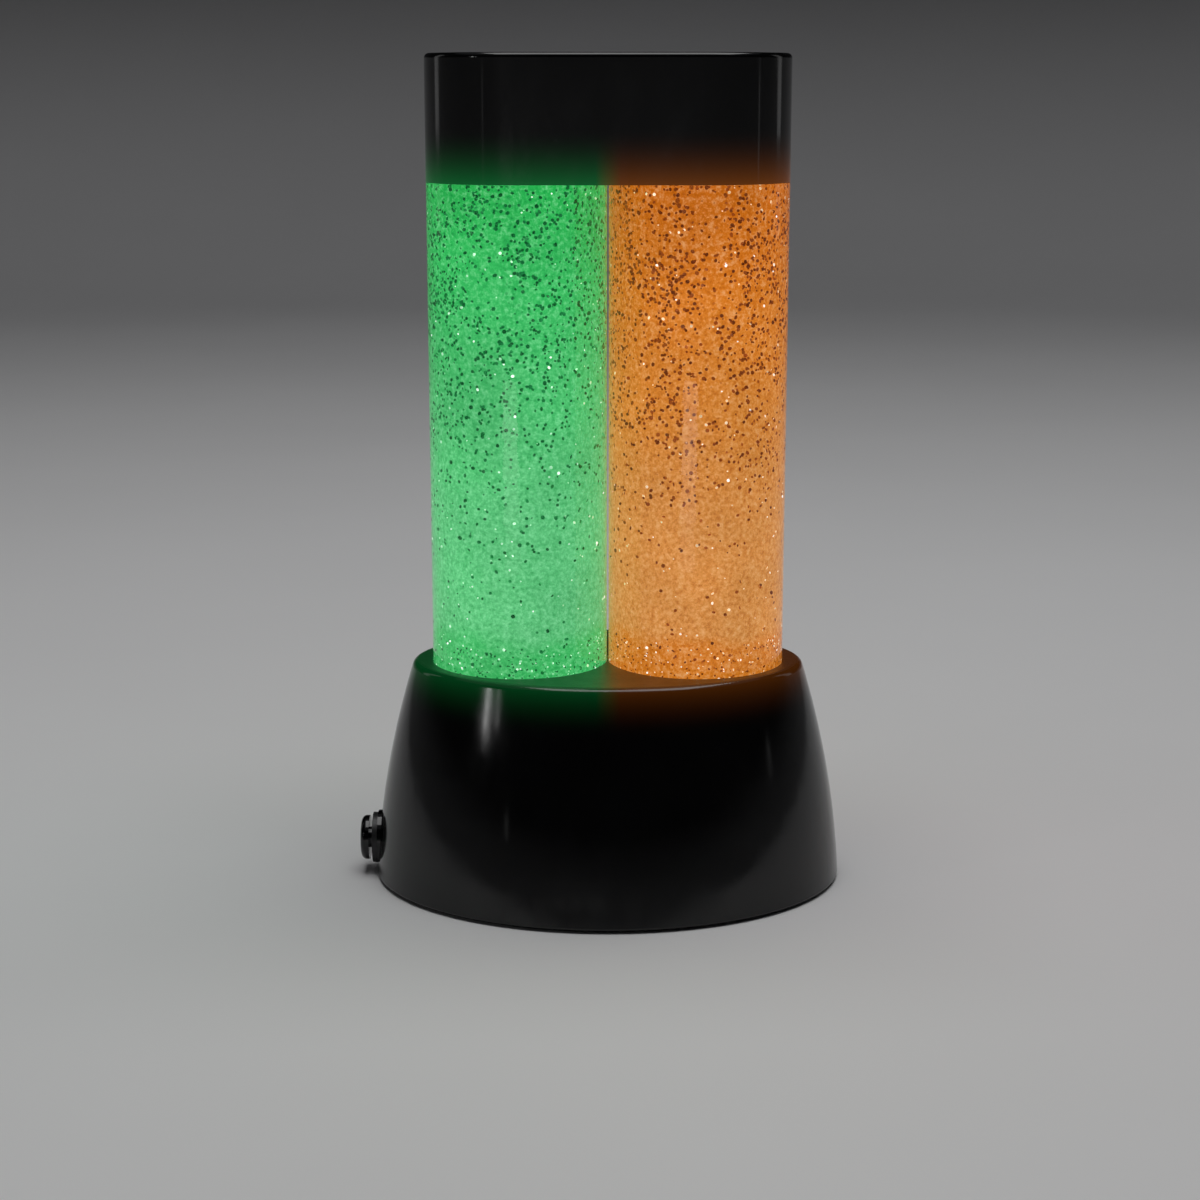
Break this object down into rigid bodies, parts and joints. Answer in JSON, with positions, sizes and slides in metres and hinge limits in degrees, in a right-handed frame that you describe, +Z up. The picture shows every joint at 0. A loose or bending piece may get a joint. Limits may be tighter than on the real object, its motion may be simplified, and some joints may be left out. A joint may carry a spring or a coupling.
{
  "type": "twin-tube glitter lamp",
  "caption": "Battery desk lamp: two upright clear tubes of glowing glitter liquid, green and orange, under a black obround cap on a flared oval base with a side push button.",
  "frame": {"origin": "centre of the anti-slip ring's flat underside, on the surface that the lamp stands on", "axes": "+Z up along the tubes, +X towards the orange tube (right as seen from the front), -Y towards the front"},
  "size_m": [0.1252, 0.0986, 0.21],
  "materials": {
    "black_gloss": "high-gloss injection-moulded black plastic, fine grain on the deck",
    "black_satin": "satin moulded black plastic",
    "rubber_black": "matt black rubber",
    "rubber_grey": "soft grey silicone",
    "clear_acrylic": "clear polished acrylic",
    "liquid_green": "clear green liquid full of fine glitter, lit from below",
    "liquid_orange": "clear orange liquid full of fine glitter, lit from below",
    "glitter": "fine hexagonal glitter flakes",
    "white_plastic": "white moulded plastic",
    "reflector_silver": "bright metallised plastic",
    "frosted_lens": "frosted translucent plastic",
    "led_clear": "clear epoxy, lit",
    "board_green": "green solder mask on fibreglass",
    "resistor_tan": "tan lacquer",
    "screw_steel": "zinc-plated steel",
    "contact_nickel": "nickel-plated spring steel",
    "cell_jacket": "plain printed cell jacket over a metal can",
    "foam_grey": "closed-cell foam",
    "wire_red": "red insulation",
    "wire_black": "black insulation",
    "wire_yellow": "yellow insulation"
  },
  "bodies": {
    "lamp_body": {"base_shell": "black_gloss", "base_plate": "black_satin", "anti_slip_ring": "rubber_black", "battery_cell_1": "cell_jacket", "battery_cell_2": "cell_jacket", "battery_cell_3": "cell_jacket", "battery_contacts": "contact_nickel", "battery_springs": "contact_nickel", "base_screws": "screw_steel", "switch_bezel": "black_satin", "switch_spring": "contact_nickel", "switch_nut": "screw_steel", "switch_housing": "black_satin", "switch_terminals": "contact_nickel", "led_board": "board_green", "board_resistors": "resistor_tan", "board_screws": "screw_steel", "lead_positive": "wire_red", "lead_negative": "wire_black", "lead_switched": "wire_yellow", "top_cap": "black_gloss", "led_left": "led_clear", "reflector_left": "reflector_silver", "lens_left": "frosted_lens", "tube_gasket_left": "rubber_grey", "tube_left": "clear_acrylic", "fluid_left": "liquid_green", "tube_stopper_left": "white_plastic", "stopper_seal_left": "rubber_grey", "cap_pad_left": "foam_grey", "led_right": "led_clear", "reflector_right": "reflector_silver", "lens_right": "frosted_lens", "tube_gasket_right": "rubber_grey", "tube_right": "clear_acrylic", "fluid_right": "liquid_orange", "tube_stopper_right": "white_plastic", "stopper_seal_right": "rubber_grey", "cap_pad_right": "foam_grey"},
    "battery_door": {"battery_door": "black_satin"},
    "switch_button": {"switch_button": "black_gloss"}
  },
  "joints": [
    {"name": "switch_press", "type": "slide", "parent": "lamp_body", "child": "switch_button", "axis": [1, 0, 0], "range_m": [0, 0.0015], "stiffness_N_per_m": 300, "deforming": ["switch_spring"]},
    {"name": "battery_door_hinge", "type": "hinge", "parent": "lamp_body", "child": "battery_door", "pos_m": [0.03, 0, 0.0018], "axis": [0, -1, 0], "range_deg": [0, 80]}
  ]
}
